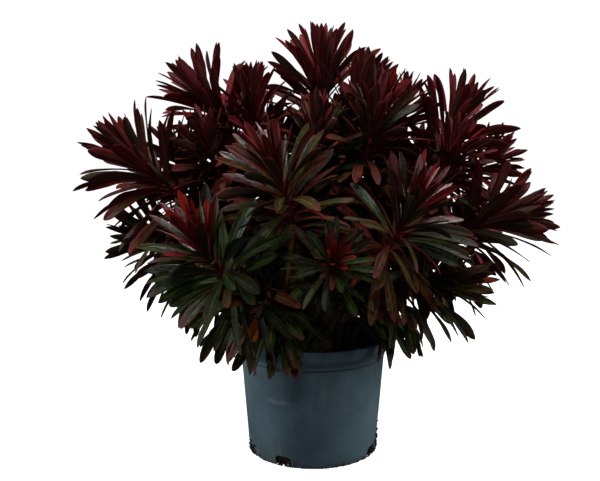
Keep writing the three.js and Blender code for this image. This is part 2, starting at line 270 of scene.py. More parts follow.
def leaf_finish():
    """Leaves: green to wine red, with a pale midrib and red margins, a wax coat with a painted
    whitish glint on front-facing young leaves, and painted shade on some leaves.

    It reads what Leaves stores: across and along run over the blade, and the rest is per leaf.
    """
    finish = Finish("euphorbia_leaf")
    across, along, face = finish.attribute("blade")
    redness, chance, age = finish.attribute("tone")
    wax_and_glint, youth, painted_shade = finish.attribute("condition")
    side = abs(across)
    upper = face.ramp(0.45, 0.75)
    grain = finish.vector(across * 1.6, along * 5, chance * 37)
    streaks = finish.noise(grain, 2.2, detail=4)
    blotches = finish.noise(finish.place(), 160)
    speckle = finish.noise(finish.place(), 1500, detail=2)

    margin = side.ramp(0.72, 1.0)
    base = along.ramp(0.3, 0.02)
    tip = along.ramp(0.78, 1.0)
    reddened = redness + margin * 0.3 + base * 0.45 + tip * 0.25
    red = (reddened + (streaks - 0.5) * 0.7 + (blotches - 0.5) * 0.5).ramp(0.15, 0.95)

    green = finish.mix(blotches.ramp(0.3, 0.7), colour(30, 42, 17), colour(56, 76, 24))
    lightness = blotches.ramp(0.3, 0.7) * 0.5 + chance * 0.5
    wine = finish.mix(lightness, colour(94, 24, 28), colour(140, 36, 44))
    wine = finish.mix(youth, wine, colour(190, 40, 24))
    blade = finish.mix(red, green, wine)
    veins = ((along - side * VEIN_SLANT) * VEIN_TURNS).sine().ramp(0.2, 1)
    blade = finish.mix(veins * 0.14, blade, colour(30, 24, 20))
    rib_colour = finish.mix(red, colour(118, 140, 52), colour(150, 24, 32))
    rib = side.ramp(0.12, 0.04) * along.ramp(0.98, 0.7)
    blade = finish.mix(rib * 0.75, blade, rib_colour)
    under = finish.mix(red, colour(46, 51, 34), colour(94, 27, 32))
    under = finish.mix(rib * 0.5, under, colour(120, 96, 72))
    blade = finish.mix(upper, under, blade)

    withered = (along + (streaks - 0.5) * 0.35 + side * 0.06).ramp(0.86, 1.02) * age.ramp(0.45, 0.95)
    blade = finish.mix(withered * 0.85, blade, colour(104, 64, 52))
    # Painted shade: some leaves are darkened at random, as if they lay in shadow.
    blade = finish.mix(painted_shade * 0.75, blade, colour(36, 32, 26))
    # Painted glint: a whitish patch beside the midrib of young leaves that face the front, where the
    # front light would reflect; the same mask also gives them a real coat.
    patch = (across + (streaks - 0.5) * 2 + (chance - 0.5) * 0.8).ramp(-0.5, 0.1)
    patch = patch * along.ramp(0.35, 0.6)
    coat_and_glint = wax_and_glint * upper * patch * (streaks * 0.4 + speckle * 0.6).ramp(0.43, 0.54)
    blade = finish.mix(coat_and_glint * 0.8, blade, colour(205, 212, 214))

    relief = rib * -0.5 + veins * 0.12 + speckle * 0.25 + streaks * 0.5
    return finish.surface(
        {
            "Base Color": blade,
            "Roughness": streaks * 0.2 + 0.42,
            "Specular IOR Level": 0.12,
            "Coat Weight": coat_and_glint,
            "Coat Roughness": 0.3,
            "Normal": finish.bump(relief, 0.25 * MM, 0.8),
        }
    )


def bark_finish():
    """Stems: red where they are young, brown and corky near the soil."""
    finish = Finish("euphorbia_stem")
    along, _, scar = finish.attribute("bark")
    place = finish.place()
    mottle = finish.noise(place, 220, detail=4)
    ridges = finish.noise(finish.stretched(place, 1400, 1400, 260), 1)
    old = (along + (mottle - 0.5) * 0.5).ramp(0.65, 0.2)
    skin = finish.mix(mottle.ramp(0.3, 0.7), colour(104, 30, 32), colour(140, 52, 48))
    cork = finish.mix(ridges.ramp(0.35, 0.65), colour(58, 42, 34), colour(110, 88, 68))
    skin = finish.mix(old, skin, cork)
    skin = finish.mix(scar * 0.6, skin, colour(50, 30, 26))
    return finish.surface(
        {
            "Base Color": skin,
            "Roughness": old * 0.25 + 0.55,
            "Specular IOR Level": 0.3,
            "Normal": finish.bump(ridges * 0.6 + mottle * 0.4, 0.4 * MM),
        }
    )


def pot_finish():
    """The pot: satin grey-blue plastic, dusty and scuffed, with soil stains at its foot and a painted
    shade line at the collar step.
    """
    finish = Finish("nursery_pot_plastic")
    place = finish.place()
    x, y, z = finish.parts(place)
    clouds = finish.noise(place, 14, detail=4)
    runs = finish.noise(finish.stretched(place, 90, 90, 7), 1, detail=4)
    dust = finish.noise(place, 700, detail=2)
    grain = finish.noise(place, 3200, detail=1)
    scuffs = finish.noise(finish.stretched(place, 60, 60, 320), 1, detail=5, roughness=0.7)

    plastic = finish.mix(clouds.ramp(0.3, 0.7), colour(70, 97, 111), colour(98, 125, 138))
    plastic = finish.mix(runs.ramp(0.52, 0.75) * 0.35, plastic, colour(118, 132, 138))
    plastic = finish.mix(scuffs.ramp(0.62, 0.74) * 0.3, plastic, colour(140, 150, 152))
    specks = dust.ramp(0.64, 0.72)
    plastic = finish.mix(specks * 0.55, plastic, colour(168, 170, 162))
    splashed = (z + (clouds - 0.5) * 0.012 + (runs - 0.5) * 0.01).ramp(8 * MM, 0.5 * MM)
    stain = splashed * finish.noise(place, 260, detail=5).ramp(0.42, 0.6)
    plastic = finish.mix(stain * 0.75, plastic, colour(50, 40, 32))
    smear = (x + 52 * MM).ramp(0, 10 * MM) * (x + 22 * MM).ramp(4 * MM, -8 * MM)
    smear_height = z - 71 * MM + (x + 40 * MM) * 0.12 + (clouds - 0.5) * 0.01
    smear = smear * (y * -1).ramp(0, 5 * MM) * abs(smear_height).ramp(5 * MM, 0)
    smear = smear * scuffs.ramp(0.36, 0.56)
    plastic = finish.mix(smear * 0.4, plastic, colour(160, 172, 178))
    left_front = (x * -0.8 - y * 0.6).ramp(0.045, 0.075)
    moss = left_front * z.ramp(0.05, 0.012) * finish.noise(place, 420, detail=4).ramp(0.5, 0.64)
    plastic = finish.mix(moss * 0.6, plastic, colour(76, 84, 44))
    # Painted shade: a dark line in the crease at the collar step.
    above = z - (COLLAR_HEIGHT - COLLAR_STEP)
    collar = above.ramp(-2.2 * MM, -0.3 * MM) * above.ramp(1.2 * MM, 0.5 * MM)
    plastic = finish.mix(collar * 0.7, plastic, colour(34, 36, 38))
    return finish.surface(
        {
            "Base Color": plastic,
            "Roughness": (clouds - 0.5) * 0.2 + runs * 0.1 + stain * 0.3 + 0.42,
            "Specular IOR Level": 0.45,
            "Normal": finish.bump(grain * 0.35 + dust * 0.3 + stain * 1.5, 0.12 * MM, 0.7),
        }
    )


def peat_finish():
    """Potting soil: dark crumbly peat with paler fibres in it."""
    finish = Finish("potting_peat")
    place = finish.place()
    lumps = finish.noise(place, 240, detail=6, roughness=0.65)
    bits = finish.cells(place, 900)
    fibres = finish.noise(finish.stretched(place, 300, 1500, 900), 1, detail=2)
    peat = finish.mix(lumps.ramp(0.3, 0.7), colour(24, 17, 13), colour(66, 48, 36))
    peat = finish.mix(bits.ramp(0.35, 0.1) * 0.5, peat, colour(86, 66, 50))
    peat = finish.mix(fibres.ramp(0.68, 0.76) * 0.7, peat, colour(140, 112, 80))
    return finish.surface(
        {
            "Base Color": peat,
            "Roughness": lumps * 0.1 + 0.85,
            "Specular IOR Level": 0.2,
            "Normal": finish.bump(lumps + bits * 0.4, 1.4 * MM),
        }
    )


def fibre_finish(name, pale, dark):
    """Bits of bark, fibre and dry leaf, each with a shade of its own between two colours."""
    finish = Finish(name)
    chance, _, _ = finish.attribute("shred")
    mottle = finish.noise(finish.place(), 700, detail=4)
    shred = finish.mix((chance + (mottle - 0.5) * 0.9).ramp(0.1, 0.9), dark, pale)
    return finish.surface(
        {
            "Base Color": shred,
            "Roughness": mottle * 0.2 + 0.7,
            "Specular IOR Level": 0.25,
            "Normal": finish.bump(mottle, 0.5 * MM),
        }
    )


# ---- Meshes


def make_piece(name, points, faces, slot, material, *nodes):
    """A piece with a smooth mesh of its own points and faces."""
    mesh = bpy.data.meshes.new(name)
    mesh.from_pydata(points, [], faces)
    mesh.validate()
    mesh.shade_smooth()
    return finish_piece(name, mesh, slot, material, *nodes)


def finish_piece(name, mesh, slot, material, *nodes):
    """Puts a mesh in the plant, on its only body, in the place of some CAD solids."""
    piece = bpy.data.objects.new(name, mesh)
    bpy.context.collection.objects.link(piece)
    mesh.materials.clear()
    mesh.materials.append(material)
    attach(piece, "root")
    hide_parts(*nodes)
    return piece


def tube_faces(rings, sides, start=0):
    """The faces of a closed tube, whose points lie in rings from number start on."""
    last = start + (rings - 1) * sides
    faces = [tuple(reversed(range(start, start + sides)))]
    for ring in range(start, last, sides):
        for i in range(sides):
            j = (i + 1) % sides
            faces.append((ring + i, ring + j, ring + j + sides, ring + i + sides))
    faces.append(tuple(range(last, last + sides)))
    return faces


def give(mesh, name, values):
    """Stores three numbers at each point of a mesh, for its finish."""
    layer = mesh.attributes.new(name, "FLOAT_VECTOR", "POINT")
    layer.data.foreach_set("vector", np.asarray(values, dtype=np.float32).ravel())


def cut_away(piece, cutter):
    """Takes the room that a cutter fills out of a piece."""
    cut = piece.modifiers.new("cut", "BOOLEAN")
    cut.operation = "DIFFERENCE"
    cut.solver = "EXACT"
    cut.object = cutter
    shaped = piece.evaluated_get(bpy.context.evaluated_depsgraph_get())
    mesh = bpy.data.meshes.new_from_object(shaped)
    piece.modifiers.clear()
    piece.data = mesh


# ---- Stems


class Stem:
    """A shoot's centreline: the cubic curve that runs through the rings of its CAD solid."""

    SAMPLES = 240  # points that the curve is measured with

    def __init__(self, node):
        levels = ring_centres(node)
        foot, tip = levels[0], levels[-1]
        middle = levels[(len(levels) - 1) // 2]
        rise = foot + UP * STEM_RISE * np.linalg.norm(tip - foot)
        lean = (8 * middle - foot - 3 * rise - tip) / 3
        t = np.linspace(0, 1, self.SAMPLES)[:, None]
        u = 1 - t
        self.points = u**3 * foot + 3 * u * u * t * rise + 3 * u * t * t * lean + t**3 * tip
        steps = np.linalg.norm(np.diff(self.points, axis=0), axis=1)
        self.distances = np.concatenate([[0], np.cumsum(steps)])
        self.length = self.distances[-1]
        slopes = np.gradient(self.points, axis=0)
        self.tangents = slopes / np.linalg.norm(slopes, axis=1)[:, None]

    def at(self, distance):
        """The point and direction at a distance along the stem from its foot."""
        point = [np.interp(distance, self.distances, self.points[:, axis]) for axis in range(3)]
        tangent = [np.interp(distance, self.distances, self.tangents[:, axis]) for axis in range(3)]
        return np.array(point), unit(np.array(tangent))

    def radius(self, distance):
        return lerp(STEM_FOOT_RADIUS, STEM_TIP_RADIUS, distance / self.length)


def ring_centres(node):
    """The middles of a stem solid's rings of corners, from its foot to its tip."""
    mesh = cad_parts[node].data
    corners = {}
    same = []
    for vertex in mesh.vertices:
        key = tuple(round(c, 6) for c in vertex.co)
        same.append(corners.setdefault(key, len(corners)))
    places = np.array(list(corners))
    beside = [set() for _ in corners]
    for edge in mesh.edges:
        a, b = (same[i] for i in edge.vertices)
        beside[a].add(b)
        beside[b].add(a)
    level = set(np.flatnonzero(places[:, 2] < places[:, 2].min() + 0.01 * MM).tolist())
    reached = set(level)
    centres = []
    while level:
        centres.append(places[sorted(level)].mean(axis=0))
        level = set().union(*(beside[i] for i in level)) - reached
        reached |= level
    return centres


STEM_SIDES = 12
STEM_RINGS = 56
FOOT_SWELLING = 0.35  # how much thicker a stem is at its very foot, as a share
SCAR_SPACING = 5 * MM
SCAR_RELIEF = 0.16  # shares of the stem's radius
BARK_RELIEF = 0.12
BARK_SCALE = 260  # lumps per metre
TOP_START = 0.97  # from where on a stem rounds off, as a share of its length
TOP_RADIUS = 0.15


def grow_stem(number, stem, material, rng):
    """A stem with a round top, and leaf scars where its lower leaves have dropped."""
    points = []
    bark = []
    for ring in range(STEM_RINGS):
        share = ring / (STEM_RINGS - 1)
        centre, tangent = stem.at(stem.length * share)
        side = unit(np.cross([0.0, 1.0, 0.0], tangent))
        front = np.cross(tangent, side)
        swelling = 1 + FOOT_SWELLING * math.exp(-((share / 0.06) ** 2))
        closing = math.sqrt(max(0.0, 1 - max(0.0, (share - TOP_START) / (1 - TOP_START)) ** 2))
        for i in range(STEM_SIDES):
            turn = ROUND * i / STEM_SIDES
            out = side * math.cos(turn) + front * math.sin(turn)
            along = stem.length * share
            row = round(along / SCAR_SPACING)
            away = math.remainder(turn - row * GOLDEN_ANGLE - number, ROUND)
            scar = math.exp(-((away / 0.45) ** 2) - ((along / SCAR_SPACING - row) / 0.3) ** 2)
            uneven = noise.noise(Vector(centre + out * stem.radius(0)) * BARK_SCALE) * BARK_RELIEF
            radius = stem.radius(along) * (swelling + SCAR_RELIEF * scar + uneven)
            radius *= max(closing, TOP_RADIUS)
            points.append(centre + out * radius)
            bark.append((share, rng.random(), scar))
    faces = tube_faces(STEM_RINGS, STEM_SIDES)
    name = f"stem_bark_{number:02d}"
    piece = make_piece(name, points, faces, "stem_bark", material, f"stem_{number:02d}")
    give(piece.data, "bark", bark)


# ---- Leaves

LEAVES_PER_HEAD = 96  # at vigour 1, besides the bud's and the strays
BUD_LEAVES = 10
STRAY_LEAVES = 12  # below the head of a long stem
SHORT_STEM_STRAYS = 2
STRAY_SPACING = 7 * MM
LONG_STEM = 140 * MM
LOWEST_LEAF = 0.25  # where leaves stop, as a share of the stem's length from its foot

# A leaf's rings of corners: where they lie along it, from 0 to 1, and each ring's corners from
# its left margin to its right one over the upper face, and back over the underside.
STATIONS = np.array([0, 0.08, 0.18, 0.3, 0.42, 0.54, 0.65, 0.75, 0.83, 0.9, 0.955, 0.985, 1.0])
TOP_ACROSS = np.array([-1, -0.8, -0.42, -0.12, 0, 0.12, 0.42, 0.8, 1])
UNDER_ACROSS = np.array([0.72, 0.1, -0.1, -0.72])
ACROSS = np.concatenate([TOP_ACROSS, UNDER_ACROSS])
ON_TOP = np.concatenate([[0.5], np.ones(len(TOP_ACROSS) - 2), [0.5], np.zeros(len(UNDER_ACROSS))])

WIDEST = 0.76  # how far along it a leaf is widest
LEAF_BASE = 0.24  # its width where it starts, as a share of its full width
BLUNT_TIP = 0.03
BLADE_THICKNESS = 0.42 * MM
GROOVE_DEPTH = 0.35 * MM  # of the midrib in the upper face
KEEL_DEPTH = 0.4 * MM  # of the midrib under the leaf
CLEAR_OF_POT = 4 * MM
LOWEST_TIP = 104 * MM
SHORTENINGS = 6  # the most times that a leaf which would hang too low is made again, shorter
SHONE_FROM = np.array([0.0, -0.96, 0.28])  # leaves that face this way get the wax coat and the painted glint

# The gap at the right of the front through which the soil shows: a tube from the stems outwards
BARE_START = np.array([0.04, -0.03, 0.122])
BARE_END = np.array([0.036, -0.2, 0.166])
BARE_RADIUS = 22 * MM

DYING_BASE = np.array([-0.056, -0.118, 0.172])
DYING_HEADING = np.array([-0.15, -0.75, -0.65])
DYING_AXIS = np.array([0.0, -0.65, 0.75])  # what its upper face looks along
DYING_LENGTH = 24 * MM
DYING_WIDTH = 12 * MM
DYING_SHOOT = 17


def soil_height(radius):
    """How high the soil's top is at a distance from the pot's axis, but for its lumps."""
    return SOIL_EDGE + SOIL_MOUND * (1 - (radius / RIM_RADIUS) ** 2)


def clear_of_pot(point, before):
    """A leaf's next point, moved up off the soil or the rim, or out past the rim."""
    radius = math.hypot(point[0], point[1])
    outside = RIM_RADIUS + CLEAR_OF_POT
    if point[2] > POT_HEIGHT + CLEAR_OF_POT or radius > outside:
        return point
    if math.hypot(before[0], before[1]) > outside:
        return point * np.array([outside / radius, outside / radius, 1])
    over_rim = radius > RIM_RADIUS - 2 * CLEAR_OF_POT
    lowest = POT_HEIGHT if over_rim else soil_height(radius)
    return np.array([point[0], point[1], max(point[2], lowest + CLEAR_OF_POT)])


def over_bare_spot(points):
    """Whether a leaf hangs in the gap through which the soil shows."""
    out = np.clip((BARE_START[1] - points[:, 1]) / (BARE_START[1] - BARE_END[1]), 0, 1)[:, None]
    middle = BARE_START + (BARE_END - BARE_START) * out
    return np.linalg.norm(points - middle, axis=1).min() < BARE_RADIUS


def leaf_outline(age):
    """A leaf's width at each station, as a share of its full width."""
    rising = np.clip(STATIONS / WIDEST, 0, 1)
    falling = np.clip((STATIONS - WIDEST) / (1 - WIDEST), 0, 1)
    smooth = rising * rising * (3 - 2 * rising)
    swell = LEAF_BASE + (1 - LEAF_BASE) * smooth ** lerp(0.5, 0.85, age)
    return swell * (1 - falling**2) ** lerp(0.8, 0.5, age) + BLUNT_TIP * (falling >= 1)


class Leaves:
    """The leaves of one piece, as they are collected: points, faces and what the finish reads."""

    RING = len(ACROSS)
    CELL_EDGE = 0.04  # the empty edge of a leaf's cell on the UV map

    def __init__(self):
        self.points = []
        self.blade = []
        self.tone = []
        self.condition = []
        self.count = 0

    def grow(self, base, axis, sideways, leaf):
        """Adds a leaf that starts at base, between a stem's axis and the sideways direction."""
        spine = self.spine(base, axis, sideways, leaf)
        for _ in range(SHORTENINGS):
            if spine[0][:, 2].min() > LOWEST_TIP:
                break
            leaf["sag"] *= 0.6
            leaf["length"] *= 0.93
            leaf["angle"] *= 0.97
            spine = self.spine(base, axis, sideways, leaf)
        if not over_bare_spot(spine[0]):
            self.skin(*spine, leaf)

    def spine(self, base, axis, sideways, leaf):
        """The points along a leaf's midrib, and its heading and upper face's normal at each."""
        heading = axis * math.cos(leaf["angle"]) + sideways * math.sin(leaf["angle"])
        normal = axis * math.sin(leaf["angle"]) - sideways * math.cos(leaf["angle"])
        point = np.array(base)
        centres = [point]
        headings = [heading]
        normals = [normal]
        for step in np.diff(STATIONS):
            bent = heading - normal * leaf["arch"] * step - UP * leaf["sag"] * step
            aimed = point + unit(bent) * step * leaf["length"]
            following = clear_of_pot(aimed, point)
            heading = unit(following - point)
            point = point + heading * step * leaf["length"]
            normal = unit(normal - heading * np.dot(normal, heading))
            roll = leaf["roll"] * step
            normal = unit(normal * math.cos(roll) + np.cross(heading, normal) * math.sin(roll))
            centres.append(point)
            headings.append(heading)
            normals.append(normal)
        return np.array(centres), np.array(headings), np.array(normals)

    def skin(self, centres, headings, normals, leaf):
        """The closed surface of a leaf around its midrib."""
        sides = np.cross(headings, normals)
        half = (leaf_outline(leaf["age"]) * leaf["width"] / 2)[:, None]
        side = np.abs(ACROSS)[None, :]
        along = STATIONS[:, None]
        fold = half * side * math.tan(leaf["fold"])
        ripple = np.sin(ROUND * leaf["ripples"] * along + leaf["phase"] + 1.9 * (ACROSS > 0))
        ripple = ripple * side**2 * leaf["ripple"] * half / (leaf["width"] / 2)
        groove = GROOVE_DEPTH * (side < 0.05) * ON_TOP * np.minimum(1, half / (2 * MM))
        keel = KEEL_DEPTH * (side < 0.2) * (ON_TOP == 0) * (1.2 - along)
        blade_thickness = BLADE_THICKNESS * (1 - 0.5 * side) * (ON_TOP == 0)
        thickness = (blade_thickness + keel) * np.minimum(1, half / MM)
        lift = (fold + ripple - groove - thickness)[..., None]
        across = (ACROSS[None, :] * half)[..., None]
        points = centres[:, None] + sides[:, None] * across + normals[:, None] * lift
        self.points.append(points.reshape(-1, 3))
        blade = np.stack(np.broadcast_arrays(ACROSS[None, :], along, ON_TOP[None, :]), axis=-1)
        self.blade.append(blade.reshape(-1, 3))
        corners = len(STATIONS) * self.RING
        self.tone.append(np.tile([leaf["redness"], leaf["chance"], leaf["age"]], (corners, 1)))
        self.condition.append(np.tile([leaf["wax_and_glint"], leaf["youth"], leaf["painted_shade"]], (corners, 1)))
        self.count += 1

    def piece(self, name, material, node):
        """Makes the mesh, with each leaf in a cell of its own on the UV map."""
        faces = []
        places = []
        grid = math.ceil(math.sqrt(self.count))
        last = len(STATIONS) - 1
        for leaf in range(self.count):
            start = leaf * len(STATIONS) * self.RING
            corner = np.array([leaf % grid, leaf // grid])
            for station in range(last):
                for i in range(self.RING):
                    j = (i + 1) % self.RING
                    a = start + station * self.RING
                    faces.append((a + i, a + j, a + j + self.RING, a + i + self.RING))
                    u = np.array([i, i + 1, i + 1, i]) / self.RING
                    v = STATIONS[[station, station, station + 1, station + 1]]
                    inside = self.CELL_EDGE + (1 - 2 * self.CELL_EDGE) * np.stack([u, v], axis=-1)
                    places.append((corner + inside) / grid)
            for station in (0, last):
                ring = [start + station * self.RING + i for i in range(self.RING)]
                faces.append(tuple(ring if station else reversed(ring)))
                end = self.CELL_EDGE + (1 - 2 * self.CELL_EDGE) * np.array([0.5, STATIONS[station]])
                places.append(np.tile((corner + end) / grid, (self.RING, 1)))
        points = np.concatenate(self.points).tolist()
        piece = make_piece(name, points, faces, "leaf_blade", material, node)
        mesh = piece.data
        mesh.uv_layers.new(name="OFBake").uv.foreach_set("vector", np.concatenate(places).ravel())
        give(mesh, "blade", np.concatenate(self.blade))
        give(mesh, "tone", np.concatenate(self.tone))
        give(mesh, "condition", np.concatenate(self.condition))
        return piece


YOUNG_AGE = 0.15  # until when a leaf glows red, where its head's older leaves are green
COLOURED_AGE = 0.24  # from when it has its head's colour
GROWN_AGE = 0.3  # from when it has its full length and width
WAX_AND_GLINT_SHARE = 0.7  # of the leaves
PAINTED_SHADE_SHARE = 0.22


def leaf_habit(age, vigour, redness, heart, wax_and_glint, rng):
    """A leaf's size, bearing and colouring at an age from 0, at the stem's tip, to 1."""
    grown = min(1.0, age / GROWN_AGE)
    coloured = min(1.0, age / COLOURED_AGE)
    painted_shade = (rng.random() < PAINTED_SHADE_SHARE) * rng.uniform(0.4, 1)
    return {
        "age": age,
        "angle": lerp(UPRIGHT_ANGLE, SPREAD_ANGLE, age**0.8) + math.radians(rng.gauss(0, 7)),
        "length": lerp(YOUNG_LEAF_LENGTH, LEAF_LENGTH, grown) * vigour * rng.uniform(0.8, 0.98),
        "width": lerp(YOUNG_LEAF_WIDTH, LEAF_WIDTH, grown) * vigour * rng.uniform(0.8, 1.08),
        "sag": 0.7 * age * rng.uniform(0.5, 1.5),
        "arch": lerp(0.05, 0.35, min(1, age * 2)) + rng.gauss(0, 0.12),
        "roll": rng.gauss(0, 0.7),
        "fold": math.radians(lerp(15, 8, age) + rng.gauss(0, 3)),
        "ripple": lerp(0.2, 0.9, age) * MM * rng.uniform(0.4, 1.4),
        "ripples": rng.uniform(1.2, 2.6),
        "phase": rng.uniform(0, ROUND),
        "redness": lerp(heart, redness * 0.9, coloured) + rng.gauss(0, 0.16),
        "chance": rng.random(),
        "wax_and_glint": wax_and_glint * (rng.random() < WAX_AND_GLINT_SHARE) * rng.uniform(0.6, 1.3),
        "youth": max(0.0, heart - redness) * max(0.0, 1 - age / YOUNG_AGE) ** 1.3,
        "painted_shade": painted_shade,
    }


def grow_head(number, stem, material, rng):
    """A shoot's leaves: small ones around its bud, then ever longer ones down the stem."""
    vigour, redness, heart, wax_and_glint = SHOOTS[number - 1]
    count = round(LEAVES_PER_HEAD * vigour)
    strays = STRAY_LEAVES if stem.length > LONG_STEM else SHORT_STEM_STRAYS
    leaves = Leaves()
    for order in range(-BUD_LEAVES, count + strays):
        age = min(1.0, max(0.0, (order + 0.5) / count)) ** 1.15
        leaf = leaf_habit(age, vigour, redness, heart, wax_and_glint, rng)
        below = LEAFY_LENGTH * vigour * age
        if order < 0:
            small = (order + BUD_LEAVES + 1) / (BUD_LEAVES + 1)
            leaf["length"] *= lerp(0.3, 0.85, small)
            leaf["width"] *= lerp(0.5, 0.9, small)
        if order >= count:
            below += (order - count + 1) * STRAY_SPACING
            leaf["redness"] *= 0.7
            leaf["sag"] += 0.5
        base, axis = stem.at(max(stem.length - below, LOWEST_LEAF * stem.length))
        sideways = unit(np.cross([0.0, 1.0, 0.0], axis))
        turn = order * GOLDEN_ANGLE + number + rng.gauss(0, 0.12)
        sideways = np.array(Matrix.Rotation(turn, 3, Vector(axis)) @ Vector(sideways))
        base = base + sideways * stem.radius(stem.length - below) * 0.7
        upper = axis * math.sin(leaf["angle"]) - sideways * math.cos(leaf["angle"])
        # Only young leaves whose upper face turns to the front get the wax coat and the painted
        # glint.
        leaf["wax_and_glint"] *= max(0.0, np.dot(upper, SHONE_FROM)) ** 2 * (age < 0.5)
        leaves.grow(base, axis, sideways, leaf)
    name = f"leaf_head_{number:02d}"
    leaves.piece(name, material, f"leaves_{number:02d}")


def make_dying_leaf(material, rng):
    """A small orange leaf that hangs among the lowest ones, at the left of the front."""
    leaf = leaf_habit(1.0, 0.42, 1.0, 1.0, 0.0, rng)
    leaf.update(angle=math.radians(90), length=DYING_LENGTH, width=DYING_WIDTH, sag=0.3)
    leaves = Leaves()
    leaves.grow(DYING_BASE, DYING_AXIS, unit(DYING_HEADING), leaf)
    piece = leaves.piece("dying_leaf", material, f"leaves_{DYING_SHOOT:02d}")
    give(piece.data, "shred", [(0.5, 0, 0)] * len(piece.data.vertices))


# ---- Pot

POT_SIDES = 168
WALL_STEPS = 14
FLARE_STEPS = 12
FOOT_CORNER = 1.2 * MM
LIP_CORNER = 0.7 * MM


def arc(centre, radius, start, end, steps):
    """Points of a round corner, from one angle in degrees to another."""
    angles = np.radians(np.linspace(start, end, steps + 1))
    return [(centre[0] + radius * math.cos(a), centre[1] + radius * math.sin(a)) for a in angles]


def curve_points(p0, p1, p2, p3, steps):
    """Points of a cubic curve from p0 to p3, which heads for p1 first and comes from p2."""
    t = np.linspace(0, 1, steps + 1)[:, None]
    u = 1 - t
    points = u**3 * np.array(p0) + 3 * u * u * t * np.array(p1)
    points = points + 3 * u * t * t * np.array(p2) + t**3 * np.array(p3)
    return [tuple(point) for point in points]


def wall_line(inset, steps=FLARE_STEPS):
    """The pot's outer face from the foot up to the rim, moved inwards by inset."""
    shoulder = SHOULDER_RADIUS - inset
    rim = RIM_RADIUS - inset
    foot = FOOT_RADIUS - inset
    wall = shoulder - COLLAR_STEP
    levels = np.linspace(inset / COLLAR_HEIGHT, 1 - COLLAR_STEP / COLLAR_HEIGHT, WALL_STEPS)
    upright = [(lerp(foot, wall, level), COLLAR_HEIGHT * level) for level in levels]
    collar = arc((wall, COLLAR_HEIGHT), COLLAR_STEP, -90, 0, 4)
    start = (shoulder, SHOULDER_HEIGHT)
    end = (rim, SHOULDER_HEIGHT + FLARE_HEIGHT)
    middle = SHOULDER_HEIGHT + FLARE_HEIGHT / 2
    return upright + collar + curve_points(start, (shoulder, middle), (rim, middle), end, steps)


def lathe(profile, sides):
    """A closed round body from a profile that starts and ends on the axis."""
    points = [(0, 0, profile[0][1])]
    for radius, height in profile[1:-1]:
        for i in range(sides):
            turn = ROUND * i / sides
            points.append((radius * math.cos(turn), radius * math.sin(turn), height))
    points.append((0, 0, profile[-1][1]))
    faces = []
    top = len(points) - 1
    for i in range(sides):
        j = (i + 1) % sides
        faces.append((0, 1 + j, 1 + i))
        for ring in range(len(profile) - 3):
            a = 1 + ring * sides
            faces.append((a + i, a + j, a + j + sides, a + i + sides))
        last = top - sides
        faces.append((top, last + i, last + j))
    return points, faces


def notch_cutter():
    """Four arched blocks that cut the drainage notches out of the pot's foot."""
    half = NOTCH_WIDTH / 2
    top = NOTCH_HEIGHT - NOTCH_CORNER
    arch = [(-half, -POT_WALL), (half, -POT_WALL)]
    arch += arc((half - NOTCH_CORNER, top), NOTCH_CORNER, 0, 90, 8)
    arch += arc((NOTCH_CORNER - half, top), NOTCH_CORNER, 90, 180, 8)
    shape = bmesh.new()
    ends = (-FOOT_RADIUS - NOTCH_REACH, -FOOT_RADIUS + NOTCH_REACH)
    for i in range(NOTCH_COUNT):
        turn = Matrix.Rotation(NOTCH_TURN + i * ROUND / NOTCH_COUNT, 3, "Z")
        rings = [[shape.verts.new(turn @ Vector((x, y, z))) for x, z in arch] for y in ends]
        shape.faces.new(rings[0])
        shape.faces.new(reversed(rings[1]))
        for j in range(len(arch)):
            k = (j + 1) % len(arch)
            shape.faces.new((rings[0][k], rings[0][j], rings[1][j], rings[1][k]))
    mesh = bpy.data.meshes.new("notch_cutter")
    shape.to_mesh(mesh)
    shape.free()
    cutter = bpy.data.objects.new("notch_cutter", mesh)
    bpy.context.collection.objects.link(cutter)
    return cutter


def make_pot(material):
    """The pot: its thin wall, the flared rim with its rounded lip, and the notches at the foot."""
    lip = RIM_RADIUS - LIP_WIDTH
    outside = wall_line(0)
    foot = outside.pop(0)[0]
    corner = FOOT_CORNER
    roll = LIP_CORNER
    profile = [(0, 0), (foot / 2, 0), (foot - 2 * corner, 0)]
    profile += arc((foot - corner, corner), corner, -90, 0, 5) + outside
    profile += arc((RIM_RADIUS - roll, POT_HEIGHT - roll), roll, 0, 90, 5)
    profile += arc((lip + roll, POT_HEIGHT - roll), roll, 90, 180, 4)
    profile += [(lip, POT_HEIGHT - LIP_HEIGHT)]
    profile += [(RIM_RADIUS - POT_WALL, POT_HEIGHT - LIP_HEIGHT - LIP_WIDTH + POT_WALL)]
    profile += list(reversed(wall_line(POT_WALL)))
    profile += [(foot / 2, POT_WALL), (0, POT_WALL)]
    points, faces = lathe(profile, POT_SIDES)
    piece = make_piece("nursery_pot", points, faces, "pot_plastic", material, "pot")
    cutter = notch_cutter()
    cut_away(piece, cutter)
    bpy.data.objects.remove(cutter)
    piece.data.shade_smooth()
    piece.data.set_sharp_from_angle(angle=math.radians(38))


# ---- Soil

SOIL_SIDES = 150
SOIL_RINGS = 52
LUMP_SCALE = 60  # lumps per metre
LUMP_HEIGHT = 2.2 * MM
GRAIN_SCALE = 330
GRAIN_HEIGHT = 0.9 * MM
SETTLED_EDGE = 6 * MM  # how far in from the pot the soil is pressed flatter
DENT_SCALE = 420
DENT = 0.012  # of the plug's side, as a share of its radius
CRUMBS = 420
CHIPS = 70
FIBRES = 150
FIBRE_STEPS = 7
FIBRE_SIDES = 3
WASHED_CRUMBS = 60  # at each notch
FOOT_CRUMBS = 380


def rough(x, y, scale):
    """A repeatable unevenness of about -1 to 1 at a place on the soil."""
    return noise.fractal(Vector((x, y, 0.3)) * scale, 0.6, 2.1, 4)


def ring_place(radius, turn, height):
    """A place at a distance and direction from the pot's axis."""
    return radius * math.cos(turn), radius * math.sin(turn), height


